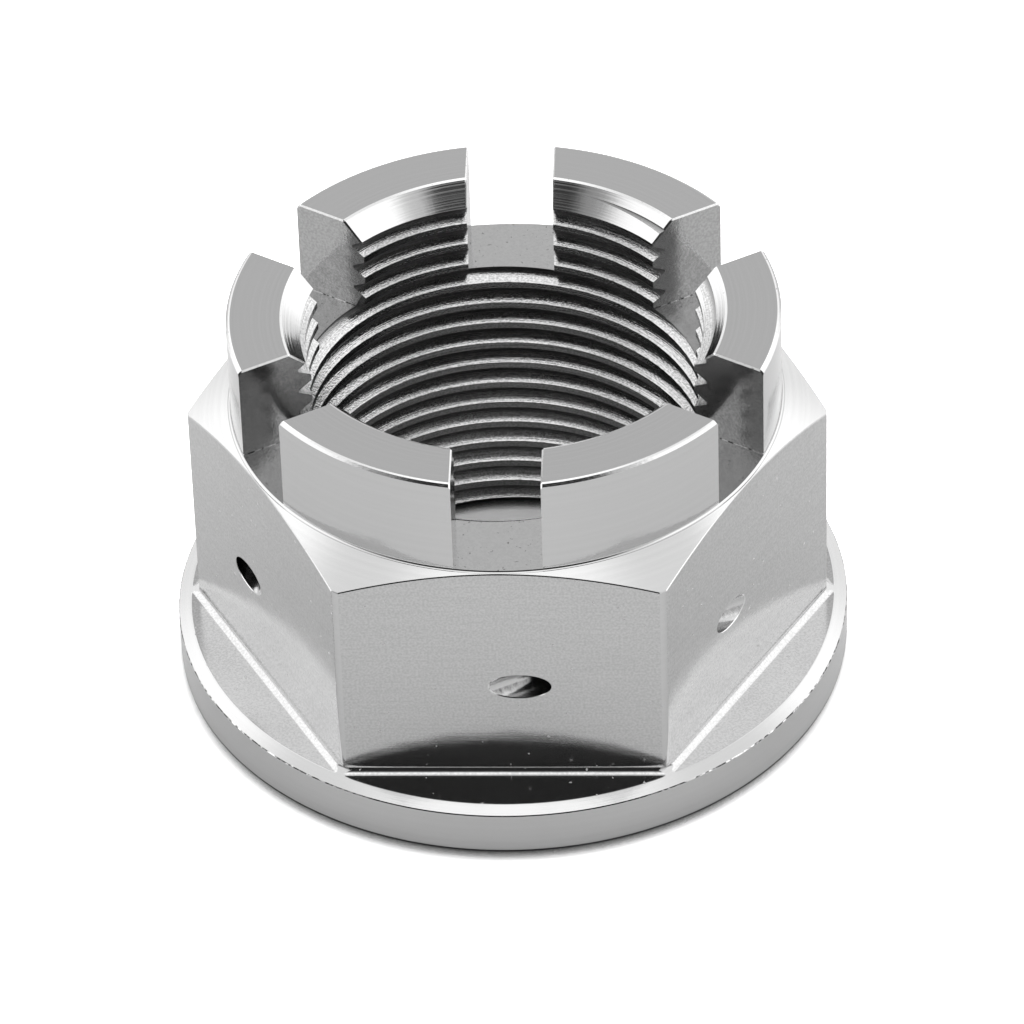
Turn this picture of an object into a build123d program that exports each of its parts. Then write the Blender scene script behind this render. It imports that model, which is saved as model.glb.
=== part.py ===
"""Slotted flange nut for a wheel axle: one turned, milled and drilled piece of steel.

The nut stands on its bearing face. The origin is the middle of that face, +Z is the thread's axis,
and one of the six wrench flats faces -Y. Lengths are millimetres and angles are degrees.
"""
from build123d import *
import math
import os

# Thread: M24 x 1.5, right-hand. The bore is plain here, at the diameter of the thread's crests.
BORE_DIAMETER = 22.7
ENTRY_CHAMFER = 1.27
EXIT_CHAMFER = 0.55

# Hexagon, with its corners turned off to a cylinder
FLAT_COUNT = 6
WALL_AT_FLATS = 4.65
CORNER_STAND = 2.35
HEX_HEIGHT = 14.65
HEX_CHAMFER_ANGLE = 30
FLAT_FOOT_RADIUS = 0.5

# Flange: a low cylinder whose turned rim slopes down outwards, and which the flats' cutter faces level
RIM_HEIGHT = 2.7
RIM_WIDTH = 1.2
RIM_SLOPE = 20
SEAT_RISE = 0.27
FLANGE_EDGE_BREAK = 0.15

# Crown: the slotted ring on top, one slot over each flat and one lug over each corner. The slots' floors
# stand a little above the crown's foot, so a low step of the crown is left in front of each
CROWN_HEIGHT = 6.1
CROWN_SETBACK = 0.21
CROWN_FOOT_RADIUS = 0.17
CROWN_BEVEL = 0.18
SLOT_WIDTH = 5.0
SLOT_FLOOR_RISE = 0.1

# Lock-wire holes, drilled aslant through every other corner
WIRE_HOLE_COUNT = 3
WIRE_HOLE_DIAMETER = 1.65
WIRE_HOLE_RISE = 6.36
WIRE_HOLE_OFFSET = 1.0
WIRE_HOLE_ANGLE = 28

# How far a cutter runs past the metal
CUT_MARGIN = 2.0

bore_radius = BORE_DIAMETER / 2
flat_distance = bore_radius + WALL_AT_FLATS
corner_radius = flat_distance + CORNER_STAND
flange_radius = corner_radius + RIM_WIDTH
crown_radius = flat_distance - CROWN_SETBACK
shoulder_radius = crown_radius + CROWN_FOOT_RADIUS

seat_z = RIM_HEIGHT + SEAT_RISE
rim_top_z = RIM_HEIGHT + RIM_WIDTH * math.tan(math.radians(RIM_SLOPE))
shoulder_z = seat_z + HEX_HEIGHT
hex_corner_z = shoulder_z - (corner_radius - shoulder_radius) * math.tan(math.radians(HEX_CHAMFER_ANGLE))
top_z = shoulder_z + CROWN_HEIGHT


def turned_blank():
    """The whole nut as it leaves the lathe: flange, corner cylinder, chamfered shoulder, crown and bore."""
    foot_start = (shoulder_radius, shoulder_z)
    foot_end = (crown_radius, shoulder_z + CROWN_FOOT_RADIUS)
    foot_centre = (shoulder_radius, shoulder_z + CROWN_FOOT_RADIUS)
    reach = CROWN_FOOT_RADIUS * math.sqrt(0.5)
    foot_middle = (foot_centre[0] - reach, foot_centre[1] - reach)
    outside = Polyline(
        (bore_radius + EXIT_CHAMFER, 0),
        (flange_radius - FLANGE_EDGE_BREAK, 0),
        (flange_radius, FLANGE_EDGE_BREAK),
        (flange_radius, RIM_HEIGHT),
        (corner_radius, rim_top_z),
        (corner_radius, hex_corner_z),
        foot_start,
    )
    foot = ThreePointArc(foot_start, foot_middle, foot_end)
    inside = Polyline(
        foot_end,
        (crown_radius, top_z - CROWN_BEVEL),
        (crown_radius - CROWN_BEVEL, top_z),
        (bore_radius + ENTRY_CHAMFER, top_z),
        (bore_radius, top_z - ENTRY_CHAMFER),
        (bore_radius, EXIT_CHAMFER),
        (bore_radius + EXIT_CHAMFER, 0),
    )
    section = Plane.XZ * make_face(Curve() + [outside, foot, inside])
    return revolve(section, Axis.Z)


def flat_cutter():
    """What the mill takes off the side that faces -Y, down to the seat, with its nose radius at the foot."""
    depth = flange_radius - flat_distance + CUT_MARGIN
    height = top_z - seat_z + CUT_MARGIN
    length = 2 * (flange_radius + CUT_MARGIN)
    side = Plane(origin=(length / 2, -flat_distance, seat_z), x_dir=(0, -1, 0), z_dir=(-1, 0, 0))
    section = Rectangle(depth, height, align=(Align.MIN, Align.MIN))
    nose = section.vertices().sort_by(Axis.X)[:2].sort_by(Axis.Y)[0]
    section = fillet(nose, FLAT_FOOT_RADIUS)
    return extrude(side * section, amount=length)


def slot_cutter():
    """A cut across the whole crown, which opens the slot over this flat and over the opposite one."""
    length = 2 * (shoulder_radius + CUT_MARGIN)
    height = CROWN_HEIGHT + CUT_MARGIN
    cut = Box(SLOT_WIDTH, length, height, align=(Align.CENTER, Align.CENTER, Align.MIN))
    return Pos(0, 0, shoulder_z + SLOT_FLOOR_RISE) * cut


def wire_hole():
    """A drilled hole that enters the flat facing -Y beside its middle and leaves by the next flat."""
    heading = Vector(1, 0, 0).rotate(Axis.Z, WIRE_HOLE_ANGLE)
    mouth = Vector(WIRE_HOLE_OFFSET, -flat_distance, seat_z + WIRE_HOLE_RISE)
    start = mouth - heading * (CUT_MARGIN + WIRE_HOLE_DIAMETER)
    drill = Plane(origin=start, z_dir=heading)
    return extrude(drill * Circle(WIRE_HOLE_DIAMETER / 2), amount=2 * corner_radius)


def axle_nut():
    """The finished nut, in the order of its machining."""
    nut = turned_blank()
    for i in range(FLAT_COUNT):
        nut -= Rot(0, 0, i * 360 / FLAT_COUNT) * flat_cutter()
    for i in range(FLAT_COUNT // 2):
        nut -= Rot(0, 0, i * 360 / FLAT_COUNT) * slot_cutter()
    for i in range(WIRE_HOLE_COUNT):
        nut -= Rot(0, 0, i * 360 / WIRE_HOLE_COUNT) * wire_hole()
    return nut


os.makedirs("parts", exist_ok=True)
nut = axle_nut()
nut.label = "axle_nut"
export_step(nut, "parts/axle_nut.step")
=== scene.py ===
# An axle nut of bright stainless steel, standing on its flange: a hexagon with its corners turned off,
# a slotted crown, a fine right-hand thread and lock-wire holes drilled aslant through every other corner.
# The nut's sizes are in millimetres and its angles in degrees. Blender's own units are metres.
import math

import bmesh
import bpy
from mathutils import Matrix, Vector


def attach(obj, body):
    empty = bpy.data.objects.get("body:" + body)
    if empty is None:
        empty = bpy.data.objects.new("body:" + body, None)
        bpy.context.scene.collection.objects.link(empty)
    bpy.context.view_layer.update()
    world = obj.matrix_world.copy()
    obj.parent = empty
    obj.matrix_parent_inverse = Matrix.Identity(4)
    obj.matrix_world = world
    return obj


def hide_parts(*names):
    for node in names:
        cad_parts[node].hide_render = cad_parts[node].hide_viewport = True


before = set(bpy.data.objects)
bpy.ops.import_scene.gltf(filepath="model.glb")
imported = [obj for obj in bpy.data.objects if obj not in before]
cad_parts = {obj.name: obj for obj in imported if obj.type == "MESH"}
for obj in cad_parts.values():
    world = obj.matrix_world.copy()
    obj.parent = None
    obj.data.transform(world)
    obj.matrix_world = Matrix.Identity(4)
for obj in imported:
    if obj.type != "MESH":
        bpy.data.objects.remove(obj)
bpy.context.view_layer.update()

MM = 0.001

# Bore and its M24 x 1.5 right-hand thread
BORE_RADIUS = 11.35
ENTRY_CHAMFER = 1.27
EXIT_CHAMFER = 0.55
THREAD_PITCH = 1.5
THREAD_DEPTH = 0.78
THREAD_FLANK_ANGLE = 30
THREAD_CREST_WIDTH = 0.42
THREAD_CREST_TOP = 16.86

# Hexagon and its turned corners
FLAT_COUNT = 6
FLAT_DISTANCE = 16.0
CORNER_RADIUS = 18.35
SHOULDER_HEIGHT = 17.62
HEX_CHAMFER_ANGLE = 30
FLAT_FOOT_RADIUS = 0.5

# Flange
FLANGE_RADIUS = 19.55
RIM_HEIGHT = 2.7
RIM_SLOPE = 20
SEAT_HEIGHT = 2.97
FLANGE_EDGE_BREAK = 0.15

# Crown
TOP_HEIGHT = 23.72
CROWN_RADIUS = 15.79
CROWN_FOOT_RADIUS = 0.17
CROWN_BEVEL = 0.18
SLOT_WIDTH = 5.0
SLOT_FLOOR_HEIGHT = 17.72

# Lock-wire holes
WIRE_HOLE_COUNT = 3
WIRE_HOLE_RADIUS = 0.825
WIRE_HOLE_HEIGHT = 9.33
WIRE_HOLE_OFFSET = 1.0
WIRE_HOLE_ANGLE = 28

# How far a cutter runs past the metal
CUT_MARGIN = 2.0

# Width of a deburred edge, and the share of it on the edges that the brush reaches less well
EDGE_BREAK = 0.09
RIM_EDGE_SHARE = 0.5
SEAT_EDGE_SHARE = 0.25
HEX_EDGE_SHARE = 0.5
BEVEL_EDGE_SHARE = 0.7

# Edges that turn by less than this angle are smooth, those that rise by more than this are upright, and
# points as near as this count as touching
SHARP_ANGLE = 12
UPRIGHT_LENGTH = 0.5
NEAR = 0.01

# Facets round a full circle, and round the small radii
TURN_STEPS = 360
FILLET_STEPS = 8
HOLE_STEPS = 48


def finish_index(name):
    """The number of a finish among the nut's material slots."""
    return list(FINISHES).index(name)


def mesh_object(name, points, faces, finish):
    """A mesh object in millimetres whose faces all carry one finish."""
    mesh = bpy.data.meshes.new(name)
    mesh.from_pydata(points, [], faces)
    for material in FINISHES.values():
        mesh.materials.append(material)
    mesh.polygons.foreach_set("material_index", [finish_index(finish)] * len(mesh.polygons))
    mesh.update()
    made = bpy.data.objects.new(name, mesh)
    bpy.context.scene.collection.objects.link(made)
    return made


def apply_modifiers(target):
    """Replaces the object's mesh by what its modifiers make of it."""
    graph = bpy.context.evaluated_depsgraph_get()
    mesh = bpy.data.meshes.new_from_object(target.evaluated_get(graph))
    old = target.data
    target.modifiers.clear()
    target.data = mesh
    bpy.data.meshes.remove(old)


def carve(target, cutter):
    """Takes the cutter's volume out of the target, and the cutter out of the scene."""
    cut = target.modifiers.new("cut", "BOOLEAN")
    cut.operation = "DIFFERENCE"
    cut.solver = "MANIFOLD"
    cut.object = cutter
    apply_modifiers(target)
    bpy.data.objects.remove(cutter)


def polar(radius, degrees, height):
    """A point at a radius, an angle and a height round the nut's axis."""
    angle = math.radians(degrees)
    return (radius * math.cos(angle), radius * math.sin(angle), height)


def arc(centre, radius, start, end, steps):
    """Points along an arc in a flat outline, without its first point."""
    turns = [math.radians(start + (end - start) * (k + 1) / steps) for k in range(steps)]
    return [(centre[0] + radius * math.cos(t), centre[1] + radius * math.sin(t)) for t in turns]


def skin(rings, count):
    """Faces from each ring of so many points to the next one, where the rings are given by their numbers."""
    faces = []
    for ring, following in zip(rings, rings[1:]):
        here = ring * count
        there = following * count
        for i in range(count):
            j = (i + 1) % count
            faces.append((here + i, there + i, there + j, here + j))
    return faces


def turned_blank():
    """The nut as it leaves the lathe: its outline, as (radius, height) pairs, turned round the axis."""
    rim_top = RIM_HEIGHT + (FLANGE_RADIUS - CORNER_RADIUS) * math.tan(math.radians(RIM_SLOPE))
    shoulder = CROWN_RADIUS + CROWN_FOOT_RADIUS
    corner_top = SHOULDER_HEIGHT - (CORNER_RADIUS - shoulder) * math.tan(math.radians(HEX_CHAMFER_ANGLE))
    foot_centre = (shoulder, SHOULDER_HEIGHT + CROWN_FOOT_RADIUS)
    outline = [
        (BORE_RADIUS + EXIT_CHAMFER, 0),
        (FLANGE_RADIUS - FLANGE_EDGE_BREAK, 0),
        (FLANGE_RADIUS, FLANGE_EDGE_BREAK),
        (FLANGE_RADIUS, RIM_HEIGHT),
        (CORNER_RADIUS, rim_top),
        (CORNER_RADIUS, corner_top),
        (shoulder, SHOULDER_HEIGHT),
        *arc(foot_centre, CROWN_FOOT_RADIUS, -90, -180, FILLET_STEPS),
        (CROWN_RADIUS, TOP_HEIGHT - CROWN_BEVEL),
        (CROWN_RADIUS - CROWN_BEVEL, TOP_HEIGHT),
        (BORE_RADIUS + ENTRY_CHAMFER, TOP_HEIGHT),
        (BORE_RADIUS, TOP_HEIGHT - ENTRY_CHAMFER),
        (BORE_RADIUS, EXIT_CHAMFER),
    ]
    points = [polar(r, 360 * k / TURN_STEPS, z) for k in range(TURN_STEPS) for r, z in outline]
    faces = skin([*range(TURN_STEPS), 0], len(outline))
    blank = mesh_object("nut", points, faces, "turned")
    for polygon in blank.data.polygons:
        if polygon.center.xy.length < BORE_RADIUS + NEAR:
            polygon.material_index = finish_index("threaded")
    return blank


def prism(name, outline, place, length, finish):
    """A bar with a flat outline, drawn from -length/2 to length/2 along the place's own Z."""
    count = len(outline)
    points = [place @ Vector((x, y, s * length / 2)) for s in (-1, 1) for x, y in outline]
    sides = [(i, (i + 1) % count, count + (i + 1) % count, count + i) for i in range(count)]
    caps = [tuple(reversed(range(count))), tuple(range(count, 2 * count))]
    return mesh_object(name, points, sides + caps, finish)


def flat_cutter(turn):
    """What the mill takes off the side that faces -Y, with its nose radius at the foot, turned round."""
    depth = FLANGE_RADIUS - FLAT_DISTANCE + CUT_MARGIN
    height = TOP_HEIGHT - SEAT_HEIGHT + CUT_MARGIN
    nose = (FLAT_FOOT_RADIUS, FLAT_FOOT_RADIUS)
    outline = [(0, height), (0, FLAT_FOOT_RADIUS)]
    outline += arc(nose, FLAT_FOOT_RADIUS, 180, 270, FILLET_STEPS)
    outline += [(depth, 0), (depth, height)]
    side = Matrix(((0, 0, -1, 0), (-1, 0, 0, -FLAT_DISTANCE), (0, 1, 0, SEAT_HEIGHT), (0, 0, 0, 1)))
    place = Matrix.Rotation(math.radians(turn), 4, "Z") @ side
    return prism("flat cutter", outline, place, 2 * (FLANGE_RADIUS + CUT_MARGIN), "milled")


def slot_cutter(turn):
    """What an end mill takes out straight across the crown along Y, which is two slots, turned round."""
    half = SLOT_WIDTH / 2
    height = TOP_HEIGHT - SLOT_FLOOR_HEIGHT + CUT_MARGIN
    outline = [(-half, 0), (half, 0), (half, height), (-half, height)]
    side = Matrix(((1, 0, 0, 0), (0, 0, -1, 0), (0, 1, 0, SLOT_FLOOR_HEIGHT), (0, 0, 0, 1)))
    place = Matrix.Rotation(math.radians(turn), 4, "Z") @ side
    return prism("slot cutter", outline, place, 2 * (CORNER_RADIUS + CUT_MARGIN), "slotted")


def wire_hole_cutter(turn):
    """A drill that enters the flat facing -Y beside its middle and leaves by the next flat, turned round."""
    outline = arc((0, 0), WIRE_HOLE_RADIUS, 0, 360, HOLE_STEPS)
    heading = Matrix.Rotation(math.radians(WIRE_HOLE_ANGLE), 4, "Z")
    along_x = Matrix.Rotation(math.radians(90), 4, "Y")
    mouth = Matrix.Translation((WIRE_HOLE_OFFSET, -FLAT_DISTANCE, WIRE_HOLE_HEIGHT))
    start = Matrix.Translation((0, 0, CORNER_RADIUS - CUT_MARGIN - 2 * WIRE_HOLE_RADIUS))
    place = Matrix.Rotation(math.radians(turn), 4, "Z") @ mouth @ heading @ along_x @ start
    return prism("wire hole cutter", outline, place, 2 * CORNER_RADIUS, "drilled")


def thread_cutter():
    """The groove between the thread's crests, as one coil that runs past both ends of the bore."""
    slope = math.tan(math.radians(THREAD_FLANK_ANGLE))
    half = (THREAD_PITCH - THREAD_CREST_WIDTH) / 2
    # The coil starts this far inside the bore, so that it cuts right through the wall
    inset = 0.2
    section = [
        (BORE_RADIUS - inset, -half - inset * slope),
        (BORE_RADIUS + THREAD_DEPTH, -half + THREAD_DEPTH * slope),
        (BORE_RADIUS + THREAD_DEPTH, half - THREAD_DEPTH * slope),
        (BORE_RADIUS - inset, half + inset * slope),
    ]
    # Over +Y, at 90 degrees, one crest's upper edge is at a known height, and the groove is above it
    groove_height = THREAD_CREST_TOP + half - THREAD_PITCH / 4
    first = -math.ceil((groove_height + THREAD_PITCH) / THREAD_PITCH)
    last = math.ceil((TOP_HEIGHT - groove_height + THREAD_PITCH) / THREAD_PITCH)
    steps = range(first * TURN_STEPS, last * TURN_STEPS + 1)
    rise = THREAD_PITCH / TURN_STEPS
    points = []
    for k in steps:
        points += [polar(r, 360 * k / TURN_STEPS, groove_height + k * rise + z) for r, z in section]
    count = len(section)
    start_cap = tuple(range(count))
    end_cap = tuple(reversed(range(len(points) - count, len(points))))
    faces = [*skin(range(len(steps)), count), start_cap, end_cap]
    return mesh_object("thread cutter", points, faces, "threaded")


def linear(hex_colour):
    """An sRGB hex colour as the linear colour that the shaders take."""
    parts = [int(hex_colour[i:i + 2], 16) / 255 for i in (1, 3, 5)]
    return [p / 12.92 if p <= 0.04045 else ((p + 0.055) / 1.055) ** 2.4 for p in parts] + [1]


STEEL = linear("#CBCBCB")
STEEL_PALE = linear("#CECECE")
STEEL_DULL = linear("#C8C8C8")
MILLED_PALE = linear("#D3D3D3")
MILLED_DULL = linear("#B7B7B7")
# Slot walls, painted darker than the floors as painted shade
SHADED_WALL_PALE = linear("#C0C0C0")
SHADED_WALL_DULL = linear("#AEAEAE")
THREAD_PALE = linear("#D0D0D0")
THREAD_DULL = linear("#9C9C9C")
# Painted highlight along the upper side of each thread crest
THREAD_PAINTED_GLINT = linear("#C4C4C4")
# Painted shade on the thread's crests, darker than the flanks
CREST_PALE = linear("#A0A0A0")
CREST_DULL = linear("#707070")
# Painted shade towards the roots of the thread's grooves
THREAD_ROOT_SHADE = linear("#8A8A8A")
# Painted highlight: on the broken edges, in the rim's dashes and in flecks in the slots' corners
PAINTED_HIGHLIGHT = linear("#DCDCDC")
# Painted shade: in flecks on the broken edges, in the rim's dashes and along the slots' corners
PAINTED_SHADE = linear("#3C3C3C")
SPECK = linear("#8C8C8C")
LINT = linear("#DADADA")
TABLE = linear("#E8E8E8")
# Painted shadow on the table beside the nut
TABLE_SHADE = linear("#505050")
TABLE_WHITE = linear("#FFFFFF")

# Settings that many nodes share. A mix has its share on input 0, two values on 2 and 3 or two colours on 6
# and 7, and gives a value on output 0 or a colour on output 2.
MIX_COLOURS = {"data_type": "RGBA"}
MIX_VALUES = {"data_type": "FLOAT"}
MULTIPLY = {"operation": "MULTIPLY"}
MULTIPLY_ADD = {"operation": "MULTIPLY_ADD"}
DOT_PRODUCT = {"operation": "DOT_PRODUCT"}
SOFT_RAMP = {"interpolation_type": "SMOOTHSTEP"}


def node(tree, kind, settings=None, links=None):
    """Adds a node, sets its own settings, and gives its sockets a value or another node's output."""
    made = tree.nodes.new(kind)
    for name, value in (settings or {}).items():
        setattr(made, name, value)
    for name, value in (links or {}).items():
        if isinstance(value, bpy.types.NodeSocket):
            tree.links.new(value, made.inputs[name])
        else:
            made.inputs[name].default_value = value
    return made


def steel(name, roughness):
    """Bare stainless steel with no tool marks yet: its material, its tree and its shader."""
    material = bpy.data.materials.new(name)
    material.use_nodes = True
    tree = material.node_tree
    shader = tree.nodes["Principled BSDF"]
    shader.inputs["Base Color"].default_value = STEEL
    shader.inputs["Metallic"].default_value = 1
    shader.inputs["Roughness"].default_value = roughness
    return material, tree, shader


def place_in_mm(tree):
    """Where a point lies on the nut, in millimetres."""
    place = node(tree, "ShaderNodeTexCoord").outputs["Object"]
    return node(tree, "ShaderNodeVectorMath", {"operation": "SCALE"}, {0: place, "Scale": 1 / MM}).outputs[0]


def distances(tree):
    """How far a point lies from the nut's axis and from its foot, in millimetres."""
    axes = node(tree, "ShaderNodeSeparateXYZ", links={0: place_in_mm(tree)})
    level = node(tree, "ShaderNodeCombineXYZ", links={0: axes.outputs[0], 1: axes.outputs[1]})
    radius = node(tree, "ShaderNodeVectorMath", {"operation": "LENGTH"}, {0: level.outputs[0]})
    return radius.outputs["Value"], axes.outputs[2]


def grain(tree, across, along, detail=2.0):
    """Noise from 0 to 1 whose marks are so many millimetres long across the nut and along its axis."""
    stretch = (1 / across, 1 / across, 1 / along)
    place = node(tree, "ShaderNodeVectorMath", MULTIPLY, {0: place_in_mm(tree), 1: stretch}).outputs[0]
    links = {"Vector": place, "Scale": 1.0, "Detail": detail}
    return node(tree, "ShaderNodeTexNoise", links=links).outputs[0]


def pits(tree, across, along):
    """Small pits close together: 0 in the pits and 1 between them, with soft sides."""
    marks = grain(tree, across, along, detail=0.0)
    return node(tree, "ShaderNodeMapRange", links={0: marks, "From Min": 0.3, "From Max": 0.7}).outputs[0]


def lathe_rings(tree, spacing):
    """Noise that only changes outwards and upwards, as the marks that a turning tool leaves. Up a wall it
    changes every so many millimetres, and out along a face twice as often."""
    radius, height = distances(tree)
    travel = node(tree, "ShaderNodeMath", MULTIPLY_ADD, {0: radius, 1: 2.0, 2: height}).outputs[0]
    links = {"W": travel, "Scale": 1 / spacing, "Detail": 2.0}
    return node(tree, "ShaderNodeTexNoise", {"noise_dimensions": "1D"}, links).outputs[0]


def relief(tree, shader, marks):
    """Raises the surface by each mark's depth in millimetres, as a bump."""
    height = 0.0
    for mark, depth in marks:
        height = node(tree, "ShaderNodeMath", MULTIPLY_ADD, {0: mark, 1: depth, 2: height}).outputs[0]
    bump = node(tree, "ShaderNodeBump", links={"Height": height, "Strength": 1.0, "Distance": MM})
    tree.links.new(bump.outputs[0], shader.inputs["Normal"])


def lint_specks(tree):
    """1 on ragged specks, up to a quarter of a millimetre wide, and 0 between them."""
    cells_per_mm = 2.2
    bends_per_mm = 5.0
    bend_width = 0.3
    largest_radius = 0.28  # in cells
    place = place_in_mm(tree)
    bends = {"Vector": place, "Scale": bends_per_mm, "Detail": 1.0}
    bend = node(tree, "ShaderNodeTexNoise", links=bends).outputs[1]
    shift = {0: bend, 1: (bend_width, bend_width, bend_width), 2: place}
    bent = node(tree, "ShaderNodeVectorMath", MULTIPLY_ADD, shift).outputs[0]
    cells = node(tree, "ShaderNodeTexVoronoi", links={"Vector": bent, "Scale": cells_per_mm})
    # A cell's random colour gives its speck's size, so that many cells have none
    sizes = {0: cells.outputs["Color"], "From Min": 0.45, "From Max": 1.1}
    size = node(tree, "ShaderNodeMapRange", links=sizes).outputs[0]
    rims = {0: size, 1: -largest_radius, 2: cells.outputs["Distance"]}
    rim = node(tree, "ShaderNodeMath", MULTIPLY_ADD, rims).outputs[0]
    return node(tree, "ShaderNodeMapRange", links={0: rim, "From Min": 0.01, "From Max": -0.03}).outputs[0]


def faces_up(tree):
    """1 on surfaces that look up, and 0 on walls."""
    normal = node(tree, "ShaderNodeNewGeometry").outputs["True Normal"]
    facing = node(tree, "ShaderNodeSeparateXYZ", links={0: normal}).outputs[2]
    return node(tree, "ShaderNodeMapRange", links={0: facing, "From Min": 0.6, "From Max": 0.8}).outputs[0]


def fine_turned_steel():
    """Stainless steel turned with a fine feed: a clear, slightly soft mirror with faint rings round the
    axis, deeper in the bore's mouths, and with chatter marks on the crown's bevel. The real feed is about
    0.1 mm a turn; the rings are drawn up to three times as coarse, so that they show."""
    material, tree, shader = steel("stainless_steel_fine_turned", roughness=0.13)
    rings = lathe_rings(tree, spacing=0.3)
    colour = node(tree, "ShaderNodeMix", MIX_COLOURS, {0: rings, 6: STEEL_DULL, 7: STEEL_PALE}).outputs[2]
    tree.links.new(colour, shader.inputs["Base Color"])
    radius, height = distances(tree)
    mouth = BORE_RADIUS + ENTRY_CHAMFER
    mouths = {0: radius, "From Min": mouth, "From Max": mouth - 0.05}
    at_mouth = node(tree, "ShaderNodeMapRange", links=mouths).outputs[0]
    mouth_rings = node(tree, "ShaderNodeMath", MULTIPLY, {0: rings, 1: at_mouth}).outputs[0]
    # Radius and height add up to more on the bevel than anywhere else
    outwards = node(tree, "ShaderNodeMath", {"operation": "ADD"}, {0: radius, 1: height}).outputs[0]
    bevel_sum = CROWN_RADIUS + TOP_HEIGHT - CROWN_BEVEL
    bevels = {0: outwards, "From Min": bevel_sum - 0.03, "From Max": bevel_sum - 0.01}
    on_bevel = node(tree, "ShaderNodeMapRange", links=bevels).outputs[0]
    judder = grain(tree, across=0.25, along=0.12, detail=1.0)
    chatter = node(tree, "ShaderNodeMath", MULTIPLY, {0: on_bevel, 1: judder}).outputs[0]
    waves = grain(tree, across=0.3, along=0.3, detail=0.0)
    relief(tree, shader, [(rings, 0.0014), (mouth_rings, 0.003), (waves, 0.0008), (chatter, 0.006)])
    return material


def side_milled_steel():
    """Stainless steel cut by the side of an end mill: a satin mirror with fine lines along the cut and faint
    clouds, and specks of lint that lie on it."""
    material, tree, shader = steel("stainless_steel_side_milled", roughness=0.15)
    lines = grain(tree, across=4.0, along=0.14, detail=1.0)
    dimples = pits(tree, across=0.13, along=0.13)
    clouds = grain(tree, across=1.6, along=1.1, detail=0.0)
    lint = lint_specks(tree)
    tone = node(tree, "ShaderNodeMix", MIX_VALUES, {0: 0.5, 2: dimples, 3: lines}).outputs[0]
    bare = node(tree, "ShaderNodeMix", MIX_COLOURS, {0: tone, 6: MILLED_DULL, 7: MILLED_PALE}).outputs[2]
    dusty = node(tree, "ShaderNodeMix", MIX_COLOURS, {0: lint, 6: bare, 7: LINT}).outputs[2]
    tree.links.new(dusty, shader.inputs["Base Color"])
    clean = node(tree, "ShaderNodeMath", {"operation": "SUBTRACT"}, {0: 1.0, 1: lint}).outputs[0]
    tree.links.new(clean, shader.inputs["Metallic"])
    relief(tree, shader, [(lines, 0.0012), (dimples, 0.0004), (clouds, 0.006)])
    return material


def slot_milled_steel():
    """Stainless steel slotted by the end of a mill: grainy, with walls painted darker than the floors as
    painted shade, a few dark specks on the floors, and painted shade along the corner where wall and floor
    meet, broken by painted bright flecks."""
    material, tree, shader = steel("stainless_steel_slot_milled", roughness=0.13)
    dimples = pits(tree, across=0.14, along=0.14)
    waves = grain(tree, across=1.2, along=0.7, detail=0.0)
    height = distances(tree)[1]
    # Painted shade along the corner where wall meets floor, broken by painted bright flecks
    corners = {0: height, "From Min": SLOT_FLOOR_HEIGHT + 0.06, "From Max": SLOT_FLOOR_HEIGHT + 0.03}
    corner = node(tree, "ShaderNodeMapRange", links=corners).outputs[0]
    bits = {0: grain(tree, across=0.4, along=0.4), "From Min": 0.42, "From Max": 0.52}
    bit = node(tree, "ShaderNodeMapRange", links=bits).outputs[0]
    corner_painted_shade = node(tree, "ShaderNodeMix", MIX_COLOURS, {0: bit, 6: PAINTED_SHADE, 7: PAINTED_HIGHLIGHT}).outputs[2]
    shaded_wall = node(tree, "ShaderNodeMix", MIX_COLOURS, {0: dimples, 6: SHADED_WALL_DULL, 7: SHADED_WALL_PALE}).outputs[2]
    wall = node(tree, "ShaderNodeMix", MIX_COLOURS, {0: corner, 6: shaded_wall, 7: corner_painted_shade}).outputs[2]
    specks = {0: grain(tree, across=0.22, along=0.22, detail=1.0), "From Min": 0.7, "From Max": 0.78}
    speck = node(tree, "ShaderNodeMapRange", links=specks).outputs[0]
    bare = node(tree, "ShaderNodeMix", MIX_COLOURS, {0: dimples, 6: STEEL_DULL, 7: STEEL_PALE}).outputs[2]
    floor = node(tree, "ShaderNodeMix", MIX_COLOURS, {0: speck, 6: bare, 7: SPECK}).outputs[2]
    # Walls take the darker painted shade, floors the plain steel
    colour = node(tree, "ShaderNodeMix", MIX_COLOURS, {0: faces_up(tree), 6: wall, 7: floor}).outputs[2]
    tree.links.new(colour, shader.inputs["Base Color"])
    relief(tree, shader, [(dimples, 0.0008), (waves, 0.008)])
    return material


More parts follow.
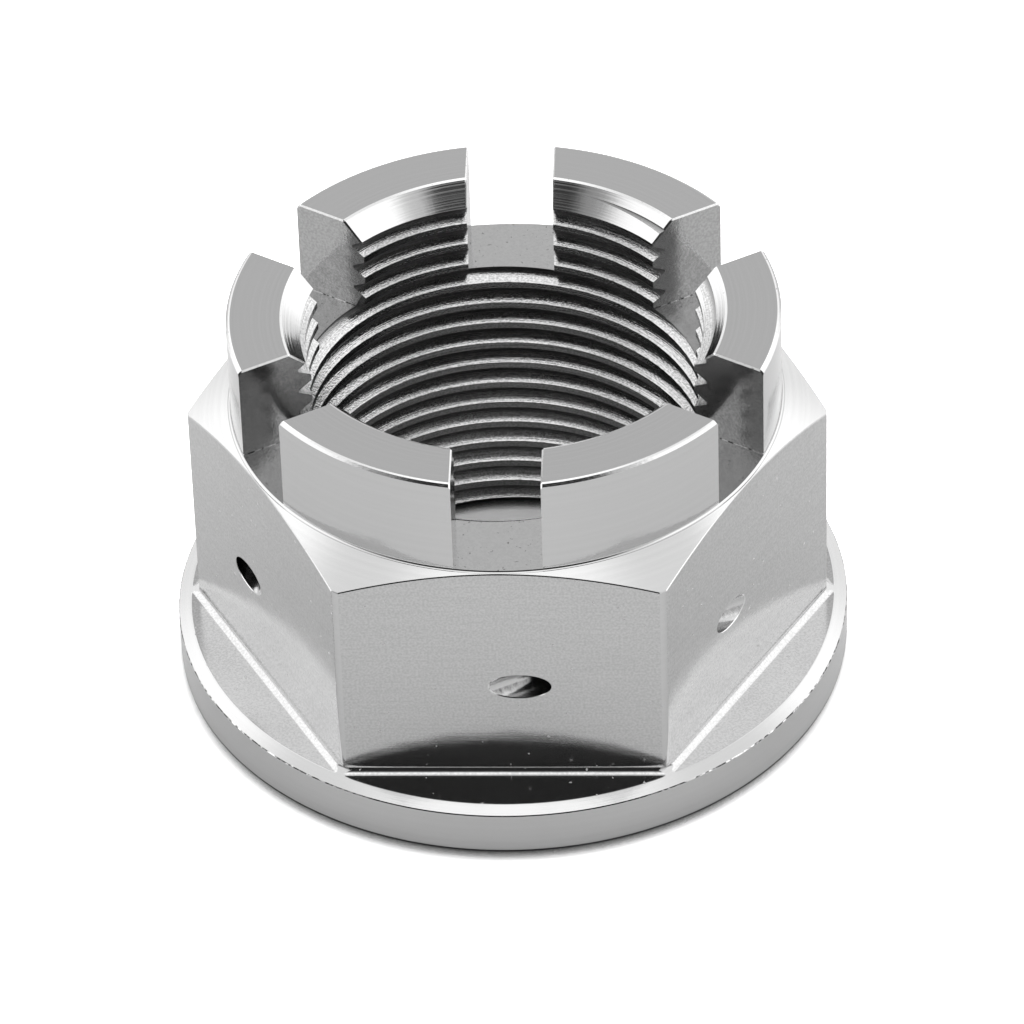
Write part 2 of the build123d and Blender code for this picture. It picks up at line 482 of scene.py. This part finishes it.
def cut_thread_steel():
    """Stainless steel threaded with a single-point tool: streaked round the bore, with painted shade on the
    crests, a painted glint in broken pieces along the upper side of each crest, and painted shade deepening
    towards the roots of the grooves, where the metal is made up to half diffuse."""
    material, tree, shader = steel("stainless_steel_cut_thread", roughness=0.13)
    radius = distances(tree)[0]
    scores = {0: lathe_rings(tree, spacing=0.12), "From Min": 0.3, "From Max": 0.7}
    streaks = node(tree, "ShaderNodeMapRange", links=scores).outputs[0]
    dimples = pits(tree, across=0.13, along=0.08)
    tone = node(tree, "ShaderNodeMix", MIX_VALUES, {0: 0.5, 2: dimples, 3: streaks}).outputs[0]
    # Painted shade, deepening towards the roots of the grooves
    grooves = {0: radius, "From Min": BORE_RADIUS + 0.45, "From Max": BORE_RADIUS + 0.75}
    painted_root_shade = node(tree, "ShaderNodeMapRange", links=grooves).outputs[0]
    bare = node(tree, "ShaderNodeMix", MIX_COLOURS, {0: tone, 6: THREAD_DULL, 7: THREAD_PALE}).outputs[2]
    flank = node(tree, "ShaderNodeMix", MIX_COLOURS, {0: painted_root_shade, 6: bare, 7: THREAD_ROOT_SHADE}).outputs[2]
    # The crests are painted darker than the flanks, as painted shade
    crests = {0: radius, "From Min": BORE_RADIUS + 0.03, "From Max": BORE_RADIUS + 0.01}
    on_crest = node(tree, "ShaderNodeMapRange", links=crests).outputs[0]
    crest = node(tree, "ShaderNodeMix", MIX_COLOURS, {0: tone, 6: CREST_DULL, 7: CREST_PALE}).outputs[2]
    with_shaded_crests = node(tree, "ShaderNodeMix", MIX_COLOURS, {0: on_crest, 6: flank, 7: crest}).outputs[2]
    # A painted glint along the upper side of each crest, broken into pieces by noise
    lips = {0: radius, "From Min": BORE_RADIUS + 0.1, "From Max": BORE_RADIUS + 0.03}
    by_crest = node(tree, "ShaderNodeMapRange", links=lips).outputs[0]
    lip = node(tree, "ShaderNodeMath", MULTIPLY, {0: faces_up(tree), 1: by_crest}).outputs[0]
    glint_breaks = {0: grain(tree, across=0.3, along=0.12), "From Min": 0.4, "From Max": 0.55}
    glint_break = node(tree, "ShaderNodeMapRange", links=glint_breaks).outputs[0]
    painted_glint = node(tree, "ShaderNodeMath", MULTIPLY, {0: lip, 1: glint_break}).outputs[0]
    colour = node(tree, "ShaderNodeMix", MIX_COLOURS, {0: painted_glint, 6: with_shaded_crests, 7: THREAD_PAINTED_GLINT}).outputs[2]
    tree.links.new(colour, shader.inputs["Base Color"])
    # Under the painted root shade, the metal is made up to half diffuse
    shine = node(tree, "ShaderNodeMath", MULTIPLY_ADD, {0: painted_root_shade, 1: -0.5, 2: 1.0}).outputs[0]
    tree.links.new(shine, shader.inputs["Metallic"])
    relief(tree, shader, [(streaks, 0.002), (dimples, 0.0026)])
    return material


def drilled_steel():
    """Stainless steel drilled with a twist drill: a dull mirror, uneven across the hole."""
    material, tree, shader = steel("stainless_steel_drilled", roughness=0.2)
    relief(tree, shader, [(grain(tree, across=0.3, along=1.2), 0.012)])
    return material


def brushed_edge_painted_highlight_steel():
    """Edges rubbed with a deburring brush, painted brighter than the steel as a painted highlight, with soft
    dark flecks of painted shade.
    """
    material, tree, shader = steel("stainless_steel_brushed_edge_painted_highlight", roughness=0.16)
    shade_flecks = {0: grain(tree, across=0.3, along=0.3), "From Min": 0.68, "From Max": 0.8}
    shade_fleck = node(tree, "ShaderNodeMapRange", links=shade_flecks).outputs[0]
    colour = node(tree, "ShaderNodeMix", MIX_COLOURS, {0: shade_fleck, 6: PAINTED_HIGHLIGHT, 7: PAINTED_SHADE}).outputs[2]
    tree.links.new(colour, shader.inputs["Base Color"])
    relief(tree, shader, [(grain(tree, across=0.2, along=0.2, detail=0.0), 0.002)])
    return material


def painted_rim_dashes_steel():
    """The flange's rim edge as the lathe left it, painted in short dashes: painted shade between painted
    highlights.
    """
    material, tree, shader = steel("stainless_steel_painted_rim_dashes", roughness=0.14)
    dashes = {0: grain(tree, across=0.4, along=0.2), "From Min": 0.42, "From Max": 0.58}
    dash = node(tree, "ShaderNodeMapRange", links=dashes).outputs[0]
    colour = node(tree, "ShaderNodeMix", MIX_COLOURS, {0: dash, 6: PAINTED_SHADE, 7: PAINTED_HIGHLIGHT}).outputs[2]
    tree.links.new(colour, shader.inputs["Base Color"])
    relief(tree, shader, [(dash, 0.008)])
    return material


FINISHES = {
    "turned": fine_turned_steel(),
    "milled": side_milled_steel(),
    "slotted": slot_milled_steel(),
    "threaded": cut_thread_steel(),
    "drilled": drilled_steel(),
    "broken_edge": brushed_edge_painted_highlight_steel(),
    "painted_rim_dashes": painted_rim_dashes_steel(),
}


def is_upright_corner(edge):
    """Whether an edge runs up the hexagon, between a flat and its turned-off corner."""
    run = edge.verts[1].co - edge.verts[0].co
    outer = min(v.co.xy.length for v in edge.verts)
    return outer > CORNER_RADIUS - 2 * NEAR and abs(run.z) > 0.9 * run.length


def is_under_bevel(edge):
    """Whether an edge runs round the crown along the lower side of its bevel."""
    outer = all(abs(v.co.xy.length - CROWN_RADIUS) < NEAR for v in edge.verts)
    return outer and all(abs(v.co.z - TOP_HEIGHT + CROWN_BEVEL) < NEAR for v in edge.verts)


def is_slot_end(edge):
    """Whether an edge bounds a slot where it opens through the crown's side, at its floor or up a wall."""
    middle = (edge.verts[0].co + edge.verts[1].co) / 2
    at_foot = SHOULDER_HEIGHT - NEAR < middle.z < SLOT_FLOOR_HEIGHT + NEAR
    upright = abs(edge.verts[0].co.z - edge.verts[1].co.z) > UPRIGHT_LENGTH
    return middle.xy.length > CROWN_RADIUS - NEAR and (at_foot or upright)


def edge_share(edge):
    """How much of the full edge break one edge of the nut gets, from 0 for none to 1."""
    middle = (edge.verts[0].co + edge.verts[1].co) / 2
    radius = middle.xy.length
    sharp = edge.is_convex and math.degrees(edge.calc_face_angle(0)) >= SHARP_ANGLE
    if not sharp or radius < BORE_RADIUS + NEAR or middle.z < RIM_HEIGHT - NEAR:
        return 0
    if middle.z < SEAT_HEIGHT + FLAT_FOOT_RADIUS + NEAR:
        if radius > FLANGE_RADIUS - NEAR:
            return RIM_EDGE_SHARE
        on_seat = all(abs(v.co.z - SEAT_HEIGHT) < NEAR for v in edge.verts)
        return SEAT_EDGE_SHARE if on_seat else 0
    if is_upright_corner(edge) or is_under_bevel(edge) or is_slot_end(edge):
        return 0
    if radius > FLAT_DISTANCE - NEAR and middle.z < SHOULDER_HEIGHT + NEAR:
        return HEX_EDGE_SHARE
    if abs(radius - CROWN_RADIUS + CROWN_BEVEL) < NEAR and middle.z > TOP_HEIGHT - NEAR:
        return BEVEL_EDGE_SHARE
    return 1


def break_edges(nut):
    """Bevels the outer edges by the width that a deburring brush leaves."""
    welded = 1e-4
    made = bmesh.new()
    made.from_mesh(nut.data)
    bmesh.ops.remove_doubles(made, verts=made.verts, dist=welded)
    bmesh.ops.dissolve_degenerate(made, edges=made.edges, dist=welded)
    weight = made.edges.layers.float.new("bevel_weight_edge")
    for edge in made.edges:
        if len(edge.link_faces) == 2:
            edge[weight] = edge_share(edge)
    made.to_mesh(nut.data)
    made.free()
    bevel = nut.modifiers.new("edge break", "BEVEL")
    bevel.limit_method = "WEIGHT"
    bevel.width = EDGE_BREAK
    bevel.segments = 1
    bevel.use_clamp_overlap = False
    bevel.material = finish_index("broken_edge")
    bevel.loop_slide = True
    apply_modifiers(nut)
    # The rim's broken edge takes the painted dashes of shade and highlight
    for polygon in nut.data.polygons:
        outermost = polygon.center.xy.length > FLANGE_RADIUS - EDGE_BREAK
        on_rim = outermost and polygon.center.z > RIM_HEIGHT - EDGE_BREAK
        if on_rim and polygon.material_index == finish_index("broken_edge"):
            polygon.material_index = finish_index("painted_rim_dashes")


def shade(nut):
    """Smooth facets on the turned faces and round the corners, and crisp lines where two cuts meet."""
    made = bmesh.new()
    made.from_mesh(nut.data)
    for face in made.faces:
        face.smooth = True
    for edge in made.edges:
        one_finish = len({face.material_index for face in edge.link_faces}) == 1
        shallow = one_finish and math.degrees(edge.calc_face_angle(0)) < SHARP_ANGLE
        edge.smooth = shallow or is_upright_corner(edge)
    made.to_mesh(nut.data)
    made.free()
    weighted = nut.modifiers.new("weighted normals", "WEIGHTED_NORMAL")
    weighted.mode = "FACE_AREA"
    weighted.keep_sharp = True
    apply_modifiers(nut)


def machined_nut():
    """The nut, made in the order of its machining, but with its thread cut last, so that the thread's own
    edges stay sharp."""
    made = turned_blank()
    for i in range(FLAT_COUNT):
        carve(made, flat_cutter(i * 360 / FLAT_COUNT))
    for i in range(FLAT_COUNT // 2):
        carve(made, slot_cutter(i * 360 / FLAT_COUNT))
    for i in range(WIRE_HOLE_COUNT):
        carve(made, wire_hole_cutter(i * 360 / WIRE_HOLE_COUNT))
    break_edges(made)
    carve(made, thread_cutter())
    shade(made)
    made.data.transform(Matrix.Scale(MM, 4))
    made.name = "axle_nut_machined"
    return made


nut = machined_nut()
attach(nut, "root")
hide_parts("axle_nut")

# Camera, in the nut's frame: it looks down at the crown from in front
VIEW_ELEVATION = 39.787
VIEW_AZIMUTH = 2.837
VIEW_ROLL = -1.913
VIEW_DISTANCE = 428.0
VIEW_LENS = 260.58
SENSOR_WIDTH = 36
AIM_HEIGHT = 12.0
AIM_RIGHT = 0.111
AIM_UP = -2.456


def make_camera():
    """A long lens whose view is the photo's."""
    azimuth, elevation, roll = (math.radians(v) for v in (VIEW_AZIMUTH, VIEW_ELEVATION, VIEW_ROLL))
    level = math.cos(elevation)
    back = Vector((math.sin(azimuth) * level, -math.cos(azimuth) * level, math.sin(elevation)))
    right = Vector((math.cos(azimuth), math.sin(azimuth), 0))
    up = back.cross(right)
    target = Vector((0, 0, AIM_HEIGHT)) + AIM_RIGHT * right + AIM_UP * up
    turned_right = math.cos(roll) * right + math.sin(roll) * up
    turned_up = -math.sin(roll) * right + math.cos(roll) * up
    lens = bpy.data.cameras.new("camera")
    lens.lens = VIEW_LENS
    lens.sensor_width = SENSOR_WIDTH
    lens.clip_start = 0.01
    lens.clip_end = 10
    camera = bpy.data.objects.new("camera", lens)
    bpy.context.scene.collection.objects.link(camera)
    basis = Matrix((turned_right, turned_up, back)).transposed().to_4x4()
    camera.matrix_world = Matrix.Translation((target + back * VIEW_DISTANCE) * MM) @ basis
    bpy.context.scene.camera = camera


# The studio, as panels of one brightness: centre, half width and soft edge round the compass, then
# bottom, top and soft edge in height, all in degrees, and the brightness. A later panel hides an earlier.
PANELS = [
    # Overhead light, down to a dimmer ring
    (0, 360, 1, 71, 200, 6, 1.6),
    # Side softboxes
    (108, 47, 8, 3, 52, 6, 1.78),
    (-112, 43, 8, 3, 54, 6, 1.7),
    # Pale wall behind, and the grey wall over it
    (180, 37, 7, -100, 34, 9, 1.25),
    (184, 17, 7, -100, 60, 8, 0.69),
    # Dark room in front, where the camera stands, in four steps
    (-1, 62, 6, -100, 66, 5, 0.85),
    (-10, 51, 7, -100, 63, 5, 0.42),
    (1, 25, 8, 4, 54, 6, 0.03),
    (0, 46, 6, 4, 53, 5, 0.03),
]
RING_LEVEL = 1.1


def seen_panel(tree, direction, centre, half_width, side_fade, bottom, top, end_fade):
    """How much of a panel a direction meets: 1 inside it, and 0 past its soft edges, all in degrees.
    Its centre is given as a compass turn from the front, to the right."""
    turn = math.radians(centre)
    facing = (math.sin(turn), -math.cos(turn), 0)
    sideways = (math.cos(turn), math.sin(turn), 0)
    ahead = node(tree, "ShaderNodeVectorMath", DOT_PRODUCT, {0: direction, 1: facing}).outputs["Value"]
    across = node(tree, "ShaderNodeVectorMath", DOT_PRODUCT, {0: direction, 1: sideways}).outputs["Value"]
    bearing = node(tree, "ShaderNodeMath", {"operation": "ARCTAN2"}, {0: across, 1: ahead}).outputs[0]
    aside = node(tree, "ShaderNodeMath", {"operation": "ABSOLUTE"}, {0: bearing}).outputs[0]
    upward = node(tree, "ShaderNodeSeparateXYZ", links={0: direction}).outputs["Z"]
    height = node(tree, "ShaderNodeMath", {"operation": "ARCSINE"}, {0: upward}).outputs[0]
    sides = node(tree, "ShaderNodeMapRange", SOFT_RAMP, {
        0: aside,
        "From Min": math.radians(half_width + side_fade),
        "From Max": math.radians(half_width - side_fade),
    }).outputs[0]
    lower = node(tree, "ShaderNodeMapRange", SOFT_RAMP, {
        0: height,
        "From Min": math.radians(bottom - end_fade),
        "From Max": math.radians(bottom + end_fade),
    }).outputs[0]
    upper = node(tree, "ShaderNodeMapRange", SOFT_RAMP, {
        0: height,
        "From Min": math.radians(top + end_fade),
        "From Max": math.radians(top - end_fade),
    }).outputs[0]
    ends = node(tree, "ShaderNodeMath", MULTIPLY, {0: lower, 1: upper}).outputs[0]
    return node(tree, "ShaderNodeMath", MULTIPLY, {0: sides, 1: ends}).outputs[0]


def make_studio():
    """Soft light from softboxes at the sides and overhead, with a grey wall behind the nut and a dark room
    in front of it. The camera sees plain white."""
    world = bpy.data.worlds.new("studio")
    bpy.context.scene.world = world
    world.use_nodes = True
    tree = world.node_tree
    tree.nodes.clear()
    direction = node(tree, "ShaderNodeTexCoord").outputs["Generated"]
    room = RING_LEVEL
    for *place, level in PANELS:
        inside = seen_panel(tree, direction, *place)
        room = node(tree, "ShaderNodeMix", MIX_VALUES, {0: inside, 2: room, 3: level}).outputs[0]
    seen = node(tree, "ShaderNodeLightPath").outputs["Is Camera Ray"]
    shown = node(tree, "ShaderNodeMix", MIX_VALUES, {0: seen, 2: room, 3: 1.0}).outputs[0]
    light = node(tree, "ShaderNodeBackground", links={"Color": (1, 1, 1, 1), "Strength": shown})
    node(tree, "ShaderNodeOutputWorld", links={"Surface": light.outputs[0]})


# Half the table's width, in metres, and how far the painted shadow beside the nut reaches on it, in
# millimetres
TABLE_HALF_WIDTH = 3.0
SHADOW_REACH = 1.6


def matt_white_table():
    """Matt white paint. The camera sees it brighter than it is, and beside the nut a painted shadow,
    dark grey where the view round the table is closed in."""
    material = bpy.data.materials.new("matt_white_table")
    material.use_nodes = True
    tree = material.node_tree
    tree.nodes.clear()
    matt = node(tree, "ShaderNodeBsdfDiffuse", links={"Color": TABLE}).outputs[0]
    shaded = node(tree, "ShaderNodeBsdfDiffuse", links={"Color": TABLE_SHADE}).outputs[0]
    white = node(tree, "ShaderNodeBsdfDiffuse", links={"Color": TABLE_WHITE}).outputs[0]
    lit = node(tree, "ShaderNodeAddShader", links={0: white, 1: white}).outputs[0]
    # How open the view up and to the back is, so that the painted shadow falls to the front
    view = node(tree, "ShaderNodeCombineXYZ", links={0: 0.0, 1: 0.7, 2: 0.7}).outputs[0]
    nearby = {"Distance": SHADOW_REACH * MM, "Normal": view}
    clear = node(tree, "ShaderNodeAmbientOcclusion", {"samples": 8}, nearby).outputs["AO"]
    openness = {0: clear, "From Min": 0.3, "From Max": 0.72}
    opened = node(tree, "ShaderNodeMapRange", SOFT_RAMP, openness).outputs[0]
    shown = node(tree, "ShaderNodeMixShader", links={0: opened, 1: shaded, 2: lit}).outputs[0]
    seen = node(tree, "ShaderNodeLightPath").outputs["Is Camera Ray"]
    surface = node(tree, "ShaderNodeMixShader", links={0: seen, 1: matt, 2: shown}).outputs[0]
    node(tree, "ShaderNodeOutputMaterial", links={"Surface": surface})
    return material


def make_table():
    """A flat square under the nut."""
    half = TABLE_HALF_WIDTH
    corners = [(-half, -half, 0), (half, -half, 0), (half, half, 0), (-half, half, 0)]
    mesh = bpy.data.meshes.new("table")
    mesh.from_pydata(corners, [], [(0, 1, 2, 3)])
    mesh.materials.append(matt_white_table())
    table = bpy.data.objects.new("table", mesh)
    bpy.context.scene.collection.objects.link(table)


make_camera()
make_studio()
make_table()

bpy.context.scene.view_settings.view_transform = "Standard"
